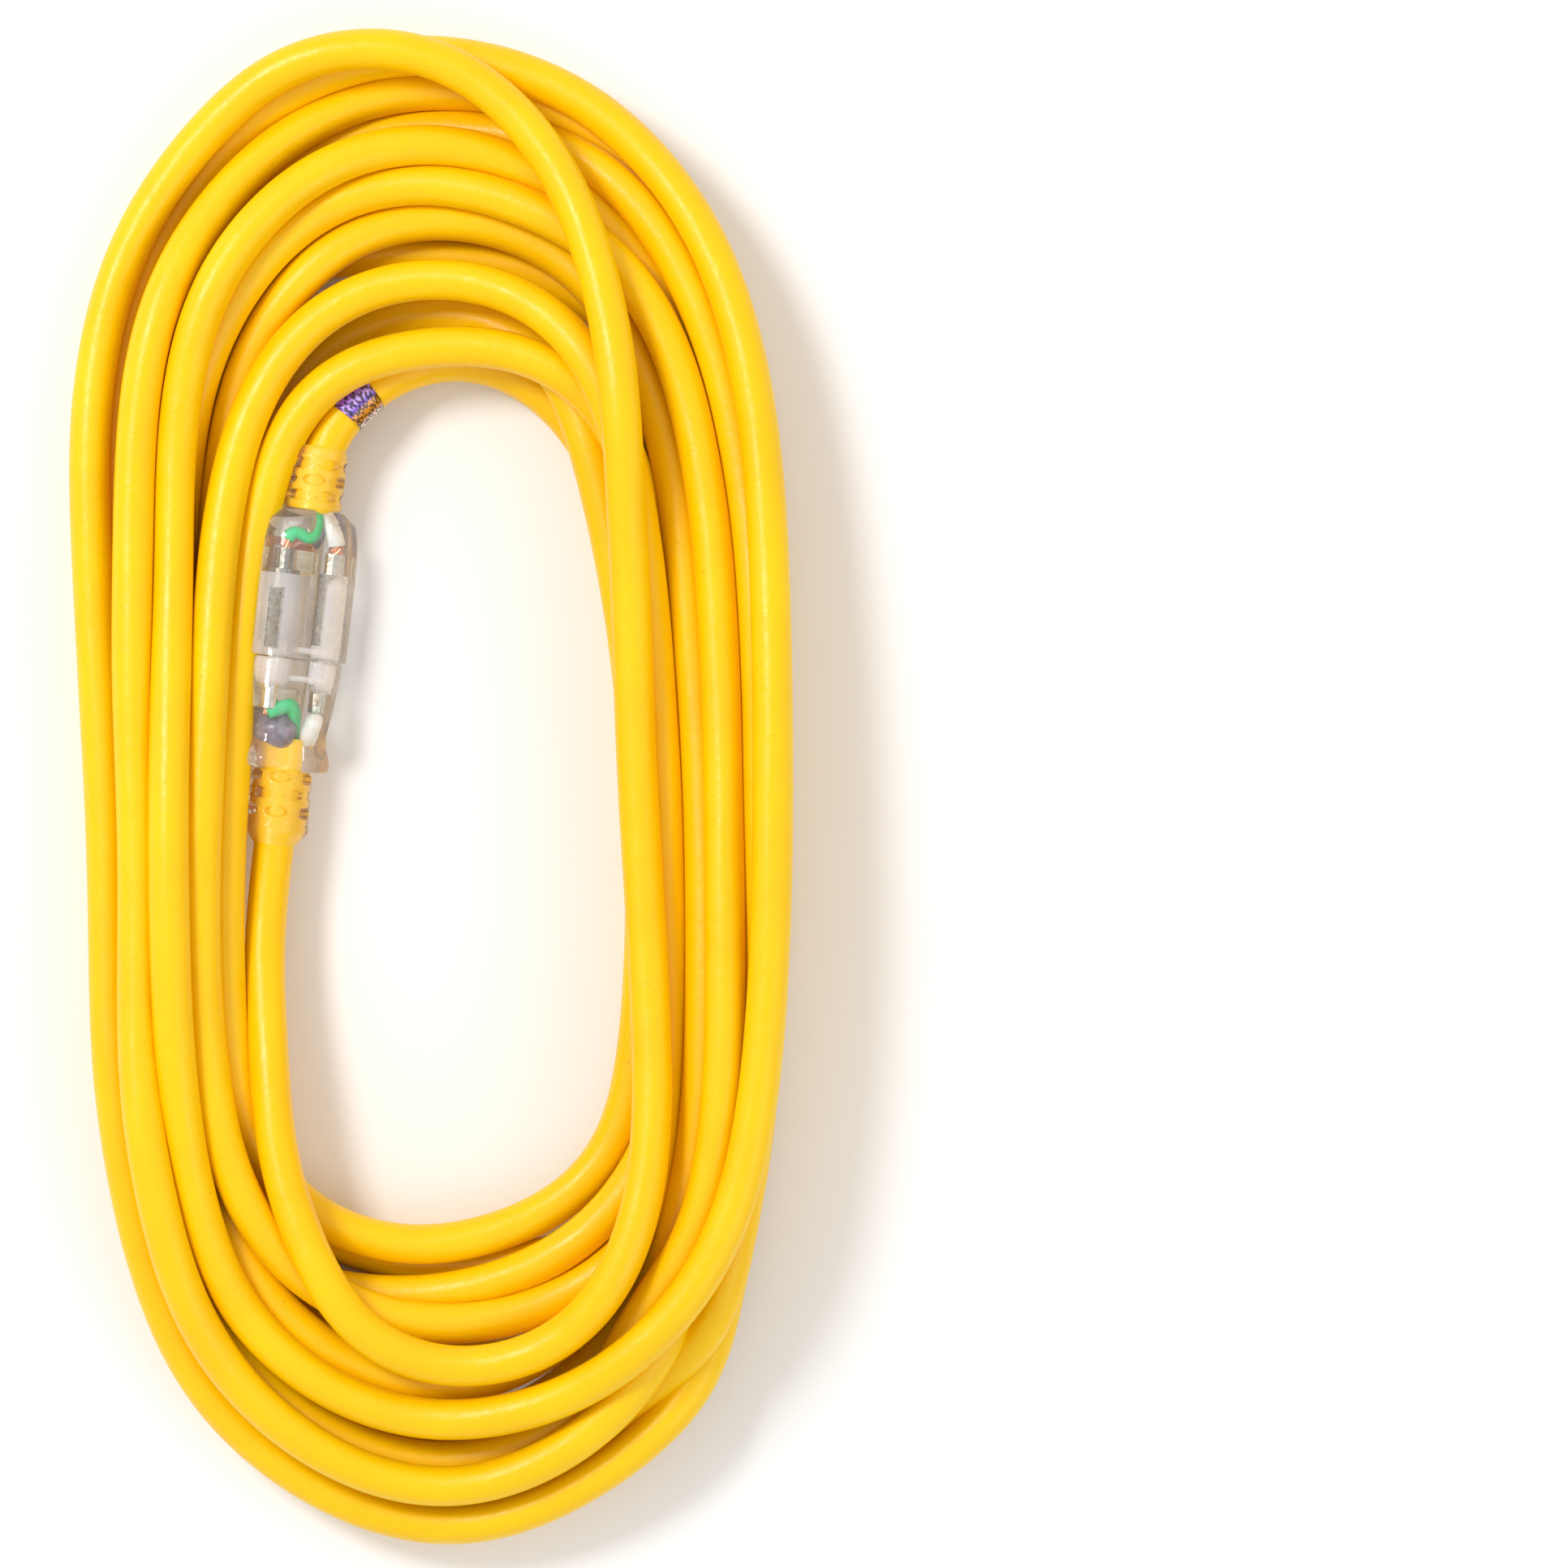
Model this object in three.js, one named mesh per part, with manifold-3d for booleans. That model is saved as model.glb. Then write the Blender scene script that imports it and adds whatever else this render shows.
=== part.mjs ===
// An outdoor extension cord, wound into a flat oval coil with its plug pushed into its own connector.
// Millimetres, +Z up, standing on z = 0. The origin is under the middle of the plug and connector pair.
import * as THREE from 'three';
import { mergeVertices } from 'three/addons/utils/BufferGeometryUtils.js';
import Module from 'manifold-3d';

const wasm = await Module();
wasm.setup();

// ---- driving dimensions ----
const CORD_D = 10.2;
const GAP = 0.3;

// standard three-pin contacts: flat blades either side, round ground pin above them
const BLADE_PITCH = 12.7;
const BLADE = { thick: 1.52, wide: 6.35, long: 17.5, holeR: 1.98, holeAt: 11.9 };
const PIN = { r: 2.375, long: 20.6, rise: 11.9 };

// the pair lies rolled about its own length and a little askew in the coil
const PAIR_AT = [-0.2, -3.75, 13.465];
const PAIR_ROLL = THREE.MathUtils.degToRad(-28);
const PAIR_SKEW = THREE.MathUtils.degToRad(-6.5);
const CORD_RISE = 2.4;

// cross-sections: half width and foot of the blade part, then the round lobe over the ground pin
const PLUG_FACE = { half: 9.6, foot: -6.2, shoulder: 5.2, lobeR: 6.4, lobeAt: 9.9 };
const PLUG_CORE_FACE = { half: 8.2, foot: -4.8, shoulder: 3.8, lobeR: 4.6, lobeAt: 10.2 };
const CONN_FACE = { half: 10.4, foot: -7, shoulder: 5.6, lobeR: 6.8, lobeAt: 10.7 };
const CONN_CORE_FACE = { half: 8.95, foot: -5.5, shoulder: 4.6, lobeR: 5.2, lobeAt: 10.9 };

const PLUG_LONG = 27.8;
const PLUG_CORE_LONG = 7.6;
const CONN_LONG = 37.7;
const CONN_CORE_LONG = 22;
const CONTACT_FROM = 4;

const CRIMP = { r: 1.85, bore: 1.25, long: 5.2 };
const STRAND_R = 0.95;
const WIRE_R = 1.6;
const WIRE_SPREAD = 2.05;
const WIRE_LONG = 7.6;

const BOOT = { r: 7.9, neck: 6.7, plugLong: 18.8, connLong: 16, windowLong: 5, windowWide: 2.2 };
const LABEL = { long: 7.6, wall: 0.35 };

// the coil's outer shape: an upright-walled ring with elliptical ends
const COIL_HIGH = 40;
const COIL_OUT = { left: -57.8, right: 126, top: 156.4, bottom: -229.3, topEnd: 107, bottomEnd: 115 };
const COIL_IN = { left: -18.6, right: 82.5, top: 76, bottom: -152, topEnd: 58, bottomEnd: 46 };

// where the cord runs free of the coil, from each boot on: x, y, z
const CONNECTOR_LEAD = [
  [6.9, 57.2, 14.6], [10.6, 61.6, 12.8], [15.6, 65.2, 10.6], [21.6, 68.2, 8.5],
  [28.2, 71.4, 6.8], [35.4, 75.4, 5.7], [43, 80, 5.2], [51, 85, 5.2],
];
const PLUG_LEAD = [
  [-8, -63, 14.4], [-9.2, -73, 12], [-9.9, -83, 9.6], [-10.2, -93, 7.6],
  [-9.8, -103, 6.2], [-8.4, -113, 5.4], [-5.4, -123, 5.2], [-0.6, -132, 5.2],
  [5.4, -140, 5.2], [12.5, -147.5, 5.2], [20, -153.5, 5.2],
];

// ---- helpers ----
const deg = THREE.MathUtils.degToRad;

function toSolid(geometry) {
  const plain = geometry.index ? geometry.toNonIndexed() : geometry.clone();
  plain.deleteAttribute('normal');
  plain.deleteAttribute('uv');
  const merged = mergeVertices(plain, 1e-4);
  return new wasm.Manifold(new wasm.Mesh({
    numProp: 3,
    vertProperties: new Float32Array(merged.attributes.position.array),
    triVerts: new Uint32Array(merged.index.array),
  }));
}

function toGeometry(solid) {
  const mesh = solid.getMesh();
  const geometry = new THREE.BufferGeometry();
  geometry.setAttribute('position', new THREE.BufferAttribute(mesh.vertProperties, 3));
  geometry.setIndex(new THREE.BufferAttribute(mesh.triVerts, 1));
  geometry.computeVertexNormals();
  return geometry;
}

function joined(...geometries) {
  return geometries.map(toSolid).reduce((a, b) => a.add(b));
}

function cut(geometry, ...cutters) {
  const tools = cutters.map(toSolid).reduce((a, b) => a.add(b));
  return toGeometry(toSolid(geometry).subtract(tools));
}

function material(color, roughness, metalness = 0) {
  return new THREE.MeshStandardMaterial({ color, roughness, metalness });
}

const clearPvc = () => material('#e3ddd6', 0.12);
const clearInsert = () => material('#e9e4e8', 0.08);
const nickel = () => material('#b9b7ae', 0.25, 1);
const brass = () => material('#c9a052', 0.3, 1);
const copper = () => material('#b8694a', 0.35, 1);
const cordYellow = () => material('#fbd20a', 0.38);
const wireColour = { ground: '#19b24a', neutral: '#ecebe6', line: '#1d1d1f' };

function piece(group, name, geometry, look) {
  const mesh = new THREE.Mesh(geometry, look);
  mesh.name = name;
  group.add(mesh);
  return mesh;
}

// a body's cross-section: a rounded rectangle with a round lobe rising from its middle
function faceShape({ half, foot, shoulder, lobeR, lobeAt }, grow = 0) {
  const w = half + grow;
  const low = foot - grow;
  const high = shoulder + grow;
  const r = 2.6;
  const lobe = lobeR + grow;
  const shape = new THREE.Shape();
  shape.moveTo(-w + r, low);
  shape.lineTo(w - r, low);
  shape.absarc(w - r, low + r, r, -Math.PI / 2, 0, false);
  shape.lineTo(w, high - r);
  shape.absarc(w - r, high - r, r, 0, deg(62), false);
  shape.lineTo(lobe, lobeAt);
  shape.absarc(0, lobeAt, lobe, 0, Math.PI, false);
  shape.lineTo(-w + r + r * Math.cos(deg(118)), high - r + r * Math.sin(deg(118)));
  shape.absarc(-w + r, high - r, r, deg(118), Math.PI, false);
  shape.lineTo(-w, low + r);
  shape.absarc(-w + r, low + r, r, Math.PI, Math.PI * 1.5, false);
  return shape;
}

// a prism of a (width, rise) shape that fills along = top - long to along = top
function prism(shape, top, long, steps = 1, curveSegments = 6) {
  const geometry = new THREE.ExtrudeGeometry(shape, {
    depth: long,
    steps,
    curveSegments,
    bevelEnabled: false,
  });
  geometry.rotateX(Math.PI / 2);
  geometry.translate(0, top, 0);
  return geometry;
}

// draws a prism in or out along its length: stations are [along, scale]
function waisted(geometry, stations, middle) {
  const p = geometry.attributes.position;
  for (let i = 0; i < p.count; i += 1) {
    const scale = valueAt(stations, p.getY(i));
    p.setX(i, p.getX(i) * scale);
    p.setZ(i, middle + (p.getZ(i) - middle) * scale);
  }
  return geometry;
}

function valueAt(stations, at) {
  const above = stations.findIndex(([s]) => s >= at);
  if (above < 0) return stations.at(-1)[1];
  if (above === 0) return stations[0][1];
  const [s0, v0] = stations[above - 1];
  const [s1, v1] = stations[above];
  return THREE.MathUtils.lerp(v0, v1, (at - s0) / (s1 - s0));
}

function rod(radius, from, to, x = 0, z = 0, sides = 14) {
  const geometry = new THREE.CylinderGeometry(radius, radius, to - from, sides);
  geometry.translate(x, (from + to) / 2, z);
  return geometry;
}

function block(x, y, z, cx, cy, cz) {
  const geometry = new THREE.BoxGeometry(x, y, z);
  geometry.translate(cx, cy, cz);
  return geometry;
}

function tube(points, radius, sides, steps) {
  const section = new THREE.Shape();
  section.absarc(0, 0, radius, 0, Math.PI * 2, false);
  const path = new THREE.CatmullRomCurve3(points.map((p) => new THREE.Vector3(...p)), false, 'centripetal');
  return new THREE.ExtrudeGeometry(section, {
    steps,
    curveSegments: sides,
    extrudePath: path,
    bevelEnabled: false,
  });
}

// the three conductors: where each one's contact sits, and where its wire joins the cord
const CONDUCTORS = [
  { name: 'ground', x: 0, z: PIN.rise, turn: 90 },
  { name: 'neutral', x: BLADE_PITCH / 2, z: 0, turn: 330 },
  { name: 'line', x: -BLADE_PITCH / 2, z: 0, turn: 210 },
];

// a wire's centre line from behind its crimp to the end of the cord's jacket
function wirePath(conductor, from, towards) {
  const end = from + towards * WIRE_LONG;
  const x1 = WIRE_SPREAD * Math.cos(deg(conductor.turn));
  const z1 = CORD_RISE + WIRE_SPREAD * Math.sin(deg(conductor.turn));
  const at = (t, s) => [
    THREE.MathUtils.lerp(conductor.x, x1, s),
    from + towards * WIRE_LONG * t,
    THREE.MathUtils.lerp(conductor.z, z1, s),
  ];
  return [at(0, 0), at(0.1, 0), at(0.35, 0.2), at(0.65, 0.8), at(0.9, 1), [x1, end, z1]];
}

// the bare copper, the insulated wire, and the tunnels that both need in the moulded body
function wireSet(group, prefix, conductor, crimpEnd, towards) {
  const bare = crimpEnd + towards * 1.5;
  const inner = crimpEnd - towards * (CRIMP.long - 0.6);
  const start = bare + towards * GAP;
  const fromY = Math.min(inner, bare);
  const toY = Math.max(inner, bare);
  const copperRod = rod(STRAND_R, fromY, toY, conductor.x, conductor.z, 10);
  piece(group, `${prefix}_strands_${conductor.name}`, copperRod, copper());
  const path = wirePath(conductor, start, towards);
  const colour = wireColour[conductor.name];
  piece(group, `${prefix}_wire_${conductor.name}`, tube(path, WIRE_R, 8, 6), material(colour, 0.45));
  const tunnelStart = [conductor.x, crimpEnd - towards * 0.5, conductor.z];
  const last = path.at(-1);
  const tunnelEnd = [last[0], last[1] + towards, last[2]];
  return tube([tunnelStart, ...path, tunnelEnd], WIRE_R + GAP, 8, 8);
}

// a crimp barrel on a contact's tail, with its bore for the copper
function crimpBarrel(conductor, from, towards) {
  const root = from - towards * 0.4;
  const to = from + towards * CRIMP.long;
  const floor = from + towards * 0.3;
  const mouth = to + towards;
  const barrel = rod(CRIMP.r, Math.min(root, to), Math.max(root, to), conductor.x, conductor.z, 12);
  const fromY = Math.min(floor, mouth);
  const toY = Math.max(floor, mouth);
  const bore = rod(CRIMP.bore, fromY, toY, conductor.x, conductor.z, 10);
  return { barrel, bore };
}

// ---- plug ----
const plugRear = -GAP / 2 - PLUG_LONG;
const plugCoreRear = -GAP / 2 - PLUG_CORE_LONG;
const plugCrimpEnd = plugCoreRear - CRIMP.long;
const plugJacketEnd = plugCrimpEnd - 1.5 - GAP - WIRE_LONG - GAP;

function bladeOutline() {
  const half = BLADE.wide / 2;
  const tip = 1.6;
  const shape = new THREE.Shape();
  shape.moveTo(plugCoreRear, -half);
  shape.lineTo(BLADE.long - tip, -half);
  shape.lineTo(BLADE.long, -half + tip);
  shape.lineTo(BLADE.long, half - tip);
  shape.lineTo(BLADE.long - tip, half);
  shape.lineTo(plugCoreRear, half);
  const hole = new THREE.Path();
  hole.absarc(BLADE.holeAt, 0, BLADE.holeR, 0, Math.PI * 2, true);
  shape.holes.push(hole);
  return shape;
}

function plugBlade(conductor) {
  const flat = new THREE.ExtrudeGeometry(bladeOutline(), {
    depth: BLADE.thick,
    curveSegments: 7,
    bevelEnabled: false,
  });
  flat.translate(0, 0, -BLADE.thick / 2);
  flat.rotateX(Math.PI / 2);
  flat.rotateZ(Math.PI / 2);
  flat.translate(conductor.x, 0, conductor.z);
  const { barrel, bore } = crimpBarrel(conductor, plugCoreRear, -1);
  return toGeometry(joined(flat, barrel).subtract(toSolid(bore)));
}

function groundPin(conductor) {
  const profile = [new THREE.Vector2(0, plugCoreRear), new THREE.Vector2(PIN.r, plugCoreRear)];
  for (let i = 0; i <= 5; i += 1) {
    const a = (i / 5) * Math.PI / 2;
    profile.push(new THREE.Vector2(PIN.r * Math.cos(a), PIN.long - PIN.r + PIN.r * Math.sin(a)));
  }
  profile[profile.length - 1].x = 0;
  const pin = new THREE.LatheGeometry(profile, 18);
  pin.translate(conductor.x, 0, conductor.z);
  const { barrel, bore } = crimpBarrel(conductor, plugCoreRear, -1);
  return toGeometry(joined(pin, barrel).subtract(toSolid(bore)));
}

function plugCore() {
  const body = prism(faceShape(PLUG_CORE_FACE), -GAP / 2, PLUG_CORE_LONG, 1, 5);
  const slots = CONDUCTORS.slice(1).map((c) => block(
    BLADE.thick + 2 * GAP, PLUG_CORE_LONG * 3, BLADE.wide + 2 * GAP, c.x, plugCoreRear, c.z,
  ));
  const hole = rod(PIN.r + GAP, -PLUG_CORE_LONG * 2, 5, 0, PIN.rise, 18);
  const crimpRoom = CONDUCTORS.map(
    (c) => rod(CRIMP.r + GAP, plugCoreRear - 1, plugCoreRear + 0.8, c.x, c.z, 12),
  );
  return cut(body, ...slots, hole, ...crimpRoom);
}

function plugShell(tunnels) {
  const stations = [[-PLUG_LONG, 0.93], [-25.4, 0.97], [-22, 0.87], [-18, 0.86], [-14.5, 0.98], [-10, 1]];
  const body = waisted(prism(faceShape(PLUG_FACE), -GAP / 2, PLUG_LONG, 12, 6), stations, CORD_RISE);
  const pocket = prism(faceShape(PLUG_CORE_FACE, GAP), 2, PLUG_CORE_LONG + 2 + GAP / 2 + GAP, 1, 5);
  const crimps = CONDUCTORS.map(
    (c) => rod(CRIMP.r + GAP, plugCrimpEnd - GAP, plugCoreRear + 1, c.x, c.z, 12),
  );
  const cordBore = rod(CORD_D / 2 + GAP, plugRear - 2, plugJacketEnd + GAP, 0, CORD_RISE, 20);
  return cut(body, pocket, cordBore, ...crimps, ...tunnels);
}

// ---- connector ----
const connFront = GAP / 2;
const connRear = connFront + CONN_LONG;
const connCoreRear = connFront + CONN_CORE_LONG;
const connCrimpEnd = connCoreRear + CRIMP.long;
const connJacketEnd = connCrimpEnd + 1.5 + GAP + WIRE_LONG + GAP;

// a blade contact: a channel of spring brass, closed behind, with the crimp on its tail
function bladeContact(conductor) {
  const outside = { x: BLADE.thick + 2 * GAP + 1.2, z: BLADE.wide + 2 * GAP + 0.8 };
  const tail = connCoreRear;
  const channel = block(
    outside.x, tail - CONTACT_FROM, outside.z,
    conductor.x, (tail + CONTACT_FROM) / 2, 0.4,
  );
  const slot = block(
    BLADE.thick + 2 * GAP, BLADE.long + GAP * 2, BLADE.wide + 2 * GAP + 4, conductor.x, BLADE.long / 2, -2,
  );
  const { barrel, bore } = crimpBarrel(conductor, tail, 1);
  const body = joined(channel, barrel).subtract(toSolid(bore)).subtract(toSolid(slot));
  return toGeometry(body);
}

function groundContact(conductor) {
  const inner = PIN.r + GAP;
  const outer = inner + 0.55;
  const back = PIN.long + 0.7;
  const tail = connCoreRear;
  const profile = [
    [inner, CONTACT_FROM],
    [outer, CONTACT_FROM],
    [outer, tail],
    [0, tail],
    [0, back],
    [inner, back],
  ];
  const points = profile.map(([r, y]) => new THREE.Vector2(r, y));
  points.push(points[0].clone());
  const sleeve = new THREE.LatheGeometry(points, 18);
  sleeve.translate(conductor.x, 0, conductor.z);
  const { barrel, bore } = crimpBarrel(conductor, tail, 1);
  return toGeometry(joined(sleeve, barrel).subtract(toSolid(bore)));
}

function connectorCore() {
  const body = prism(faceShape(CONN_CORE_FACE), connCoreRear, CONN_CORE_LONG - GAP, 1, 5);
  const long = CONN_CORE_LONG * 2;
  const openings = CONDUCTORS.slice(1).flatMap((c) => [
    block(BLADE.thick + 2 * GAP, 20, BLADE.wide + 2 * GAP, c.x, 0, c.z),
    block(
      BLADE.thick + 4 * GAP + 1.2, long, BLADE.wide + 4 * GAP + 0.8,
      c.x, CONTACT_FROM - GAP + long / 2, 0.4,
    ),
  ]);
  const hole = rod(PIN.r + GAP, -5, 10, 0, PIN.rise, 18);
  const sleeveRoom = rod(PIN.r + 2 * GAP + 0.55, CONTACT_FROM - GAP, long, 0, PIN.rise, 18);
  return cut(body, ...openings, hole, sleeveRoom);
}

// the ear under the slots that a finger pulls on
function ear() {
  const half = 4.6;
  const shape = new THREE.Shape();
  shape.moveTo(connFront, CONN_FACE.foot + 1);
  shape.lineTo(connFront, -11.8);
  shape.quadraticCurveTo(connFront, -12.8, connFront + 1.2, -12.8);
  shape.lineTo(3.2, -12.8);
  shape.quadraticCurveTo(5.6, -12.4, 7, -9.6);
  shape.lineTo(11.5, CONN_FACE.foot + 1);
  const geometry = new THREE.ExtrudeGeometry(shape, {
    depth: 2 * half,
    curveSegments: 4,
    bevelEnabled: false,
  });
  geometry.translate(0, 0, -half);
  geometry.rotateX(Math.PI / 2);
  geometry.rotateZ(Math.PI / 2);
  return geometry;
}

function connectorShell(tunnels) {
  const stations = [[0, 1], [connRear - 7, 0.97], [connRear - 3.4, 0.9], [connRear, 0.66]];
  const body = waisted(prism(faceShape(CONN_FACE), connRear, CONN_LONG, 12, 6), stations, CORD_RISE);
  const pocket = prism(faceShape(CONN_CORE_FACE, GAP), connCoreRear + GAP, CONN_CORE_LONG + 4, 1, 5);
  const crimps = CONDUCTORS.map(
    (c) => rod(CRIMP.r + GAP, connCoreRear - 1, connCrimpEnd + GAP, c.x, c.z, 12),
  );
  const cordBore = rod(CORD_D / 2 + GAP, connJacketEnd - GAP, connRear + 2, 0, CORD_RISE, 20);
  const tools = [pocket, cordBore, ...crimps, ...tunnels].map(toSolid).reduce((a, b) => a.add(b));
  return toGeometry(joined(body, ear()).subtract(tools));
}

// ---- strain relief boots ----
// an oval window through the boot's wall, at a turn about the cord and a place along it
function bootWindow(turn, along, long) {
  const shape = new THREE.Shape();
  shape.absellipse(0, 0, long / 2, BOOT.windowWide / 2, 0, Math.PI * 2, false, 0);
  const geometry = new THREE.ExtrudeGeometry(shape, {
    depth: BOOT.r * 1.5,
    curveSegments: 5,
    bevelEnabled: false,
  });
  geometry.translate(0, along, CORD_D / 2 - 0.5);
  geometry.rotateY(deg(turn));
  geometry.translate(0, 0, CORD_RISE);
  return geometry;
}

// a boot runs from `from` for `long` towards its cord end, and narrows there
function boot(from, long, towards) {
  const to = from + towards * long;
  const bore = CORD_D / 2 + GAP;
  const outline = [
    [bore, 0], [BOOT.neck, 0], [BOOT.neck + 0.5, 0.06], [BOOT.neck + 0.5, 0.34],
    [BOOT.r, 0.5], [BOOT.r, 0.82], [bore + 0.9, 1], [bore, 1],
  ];
  const points = outline.map(([r, t]) => new THREE.Vector2(r, THREE.MathUtils.lerp(from, to, t)));
  if (towards < 0) points.reverse();
  points.push(points[0].clone());
  const body = new THREE.LatheGeometry(points, 24);
  body.translate(0, 0, CORD_RISE);
  const windows = [];
  for (let row = 0; row < 3; row += 1) {
    for (let k = 0; k < 4; k += 1) {
      const turn = k * 90 + (row % 2) * 45;
      windows.push(bootWindow(turn, THREE.MathUtils.lerp(from, to, 0.18 + row * 0.24), BOOT.windowLong));
    }
  }
  return cut(body, ...windows);
}

// ---- the pair ----
const pair = new THREE.Group();
pair.position.set(...PAIR_AT);
pair.rotation.set(0, PAIR_ROLL, PAIR_SKEW, 'ZYX');
pair.updateMatrixWorld(true);

const plugTunnels = CONDUCTORS.map((c) => wireSet(pair, 'plug', c, plugCrimpEnd, -1));
piece(pair, 'plug_ground_pin', groundPin(CONDUCTORS[0]), nickel());
piece(pair, 'plug_neutral_blade', plugBlade(CONDUCTORS[1]), nickel());
piece(pair, 'plug_line_blade', plugBlade(CONDUCTORS[2]), nickel());
piece(pair, 'plug_blade_carrier', plugCore(), clearInsert());
piece(pair, 'plug_body', plugShell(plugTunnels), clearPvc());
piece(pair, 'plug_strain_relief', boot(plugRear - GAP, BOOT.plugLong, -1), clearPvc());

const connTunnels = CONDUCTORS.map((c) => wireSet(pair, 'connector', c, connCrimpEnd, 1));
piece(pair, 'connector_ground_contact', groundContact(CONDUCTORS[0]), brass());
piece(pair, 'connector_neutral_contact', bladeContact(CONDUCTORS[1]), brass());
piece(pair, 'connector_line_contact', bladeContact(CONDUCTORS[2]), brass());
piece(pair, 'connector_contact_carrier', connectorCore(), clearInsert());
piece(pair, 'connector_body', connectorShell(connTunnels), clearPvc());
piece(pair, 'connector_strain_relief', boot(connRear + GAP, BOOT.connLong, 1), clearPvc());

// ---- the cord ----
function ovalShape(Path, o, grow) {
  const half = (o.right - o.left) / 2 + grow;
  const middle = (o.right + o.left) / 2;
  const path = new Path();
  path.absellipse(middle, o.top - o.topEnd, half, o.topEnd + grow, 0, Math.PI, false, 0);
  path.absellipse(middle, o.bottom + o.bottomEnd, half, o.bottomEnd + grow, Math.PI, Math.PI * 2, false, 0);
  return path;
}

function coilRing(grow) {
  const shape = ovalShape(THREE.Shape, COIL_OUT, grow);
  shape.holes.push(ovalShape(THREE.Path, COIL_IN, -grow));
  const geometry = new THREE.ExtrudeGeometry(shape, {
    depth: COIL_HIGH + grow,
    curveSegments: 20,
    bevelEnabled: false,
  });
  geometry.translate(0, 0, grow ? -grow / 2 : 0);
  return geometry;
}

// a point on the pair's cord axis, in the object's frame
function onAxis(along) {
  return new THREE.Vector3(0, along, CORD_RISE).applyMatrix4(pair.matrixWorld).toArray();
}

// the jacket from inside the moulded body, through the boot and out to the coil
function lead(inside, bootEnd, towards, route, steps) {
  const straight = [inside, (inside + bootEnd) / 2, bootEnd, bootEnd + towards * 3].map(onAxis);
  const whole = tube([...straight, ...route], CORD_D / 2, 10, steps);
  return toGeometry(toSolid(whole).subtract(toSolid(coilRing(GAP))));
}

function cordLabel(at, next) {
  const inner = CORD_D / 2 + GAP * 1.5;
  const ring = [
    [inner, -LABEL.long / 2], [inner + LABEL.wall, -LABEL.long / 2],
    [inner + LABEL.wall, LABEL.long / 2], [inner, LABEL.long / 2],
  ].map(([r, y]) => new THREE.Vector2(r, y));
  ring.push(ring[0].clone());
  const sleeve = new THREE.LatheGeometry(ring, 16);
  const along = new THREE.Vector3(...next).sub(new THREE.Vector3(...at)).normalize();
  const mesh = new THREE.Mesh(sleeve, material('#d8d4dc', 0.35));
  mesh.quaternion.setFromUnitVectors(new THREE.Vector3(0, 1, 0), along);
  mesh.position.set((at[0] + next[0]) / 2, (at[1] + next[1]) / 2, (at[2] + next[2]) / 2);
  mesh.name = 'cord_label';
  return mesh;
}

const object = new THREE.Group();
object.add(pair);
piece(object, 'cord_coil', coilRing(0), cordYellow());
const plugBootEnd = plugRear - GAP - BOOT.plugLong;
const connBootEnd = connRear + GAP + BOOT.connLong;
piece(object, 'cord_plug_lead', lead(plugJacketEnd, plugBootEnd, -1, PLUG_LEAD, 34), cordYellow());
piece(object, 'cord_connector_lead', lead(connJacketEnd, connBootEnd, 1, CONNECTOR_LEAD, 26), cordYellow());
object.add(cordLabel(CONNECTOR_LEAD[1], CONNECTOR_LEAD[2]));

export default object;
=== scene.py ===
"""A yellow outdoor extension cord in a flat oval coil, its clear plug pushed into its clear connector.

Lengths are millimetres in the CAD frame, unless a name or a comment says otherwise.
Objects are made in metres.
"""

import math

import bpy
import numpy as np
from mathutils import Matrix, Vector


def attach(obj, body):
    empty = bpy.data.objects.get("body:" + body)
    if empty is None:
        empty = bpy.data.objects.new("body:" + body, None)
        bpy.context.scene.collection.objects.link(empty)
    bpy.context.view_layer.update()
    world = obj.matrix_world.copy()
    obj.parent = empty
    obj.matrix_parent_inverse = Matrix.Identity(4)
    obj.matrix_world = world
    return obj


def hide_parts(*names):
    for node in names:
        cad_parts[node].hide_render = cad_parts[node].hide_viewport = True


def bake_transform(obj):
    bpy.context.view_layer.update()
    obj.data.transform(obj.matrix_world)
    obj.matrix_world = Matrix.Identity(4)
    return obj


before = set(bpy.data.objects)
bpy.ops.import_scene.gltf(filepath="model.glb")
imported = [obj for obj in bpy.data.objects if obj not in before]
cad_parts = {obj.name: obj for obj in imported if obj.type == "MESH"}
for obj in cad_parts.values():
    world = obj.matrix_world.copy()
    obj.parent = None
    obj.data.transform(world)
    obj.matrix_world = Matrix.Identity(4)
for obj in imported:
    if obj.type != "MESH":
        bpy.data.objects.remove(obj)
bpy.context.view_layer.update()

MM = 0.001
PLUG, CONNECTOR = "plug_side", "connector_side"

# the pair's own frame: y runs along it towards the connector, z towards the ground pin
PAIR_AT = (-0.2, -3.75, 13.465)
PAIR_ROLL = math.radians(-28)
PAIR_SKEW = math.radians(-6.5)
PAIR = (
    Matrix.Translation(Vector(PAIR_AT) * MM)
    @ Matrix.Rotation(PAIR_SKEW, 4, "Z")
    @ Matrix.Rotation(PAIR_ROLL, 4, "Y")
)
# the cord's axis lies this far above the blades' plane
CORD_RISE = 2.4
CORD_D = 10.2

# places along the pair's length, from the plane where its two faces meet
PLUG_BOOT_END = -47.05
PLUG_REAR = -27.95
PLUG_JACKET_END = -20.2
PLUG_CRIMP_END = -12.95
PLUG_CORE_REAR = -7.75
CONN_CORE_REAR = 22.15
CONN_CRIMP_END = 27.35
CONN_JACKET_END = 37.05
CONN_REAR = 37.85
CONN_BOOT_END = 54.15


# ---------------------------------------------------------------- meshes
def link(obj):
    """Puts an object in the scene."""
    bpy.context.scene.collection.objects.link(obj)
    return obj


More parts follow.
